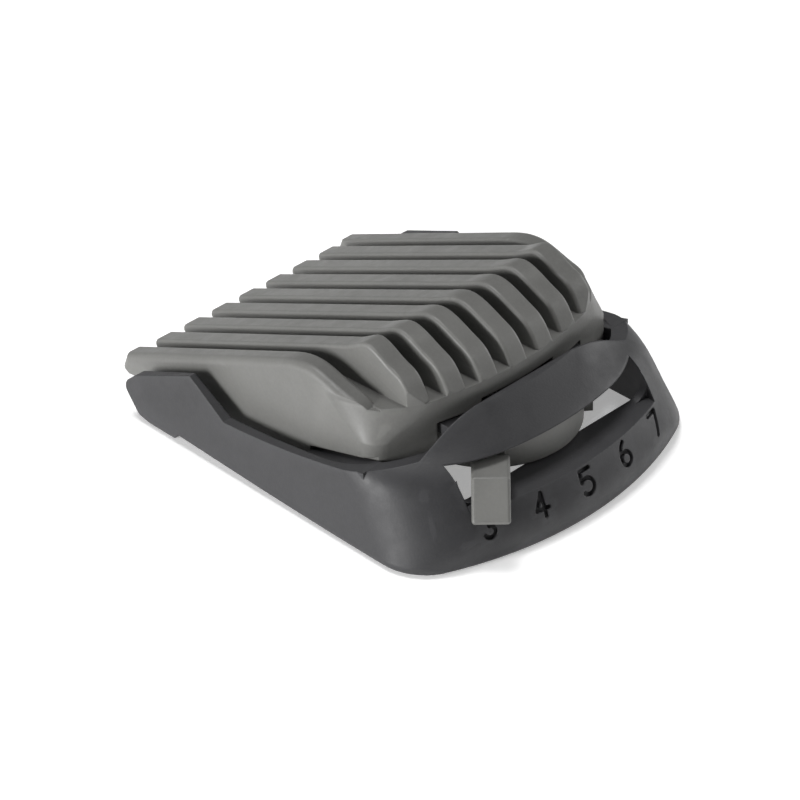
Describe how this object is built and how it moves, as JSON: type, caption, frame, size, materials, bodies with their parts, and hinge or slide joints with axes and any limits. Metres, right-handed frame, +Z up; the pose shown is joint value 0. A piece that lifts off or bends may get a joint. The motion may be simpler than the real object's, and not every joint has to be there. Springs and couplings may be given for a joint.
{
  "type": "adjustable clipper guard comb",
  "caption": "Adjustable guard comb for a hair trimmer: dark wedge frame with a numbered console, grey comb that rises as a thumb lever turns a dial.",
  "frame": {"origin": "on the table under the middle of the whole guard, at the bottom of its box", "axes": "+Z up, +Y towards the tips of the teeth, X across the comb, -Y towards the numbered console"},
  "size_m": [0.0462, 0.0598, 0.0214],
  "materials": {
    "frame_plastic": "fine satin, moulded",
    "comb_plastic": "satin, moulded",
    "steel": "bright, drawn",
    "washer_plastic": "smooth, slippery"
  },
  "bodies": {
    "frame_body": {"frame": "frame_plastic", "click_spring": "steel"},
    "dial_body": {"dial": "comb_plastic", "thumb_tab": "comb_plastic", "retaining_ring": "steel", "dial_washer": "washer_plastic"},
    "comb_body": {"comb": "comb_plastic", "lift_pin": "steel"}
  },
  "joints": [
    {"name": "lever_swing", "type": "hinge", "parent": "frame_body", "child": "dial_body", "pos_m": [0, -0.0137, 0], "axis": [0, 0, 1], "range_deg": [0, 90]},
    {"name": "comb_lift", "type": "slide", "parent": "frame_body", "child": "comb_body", "axis": [0, 0, 1], "range_m": [0, 0.004]}
  ],
  "couplings": [
    {"joint": "lever_swing", "follows": "comb_lift", "rad_per_m": 392.7}
  ]
}
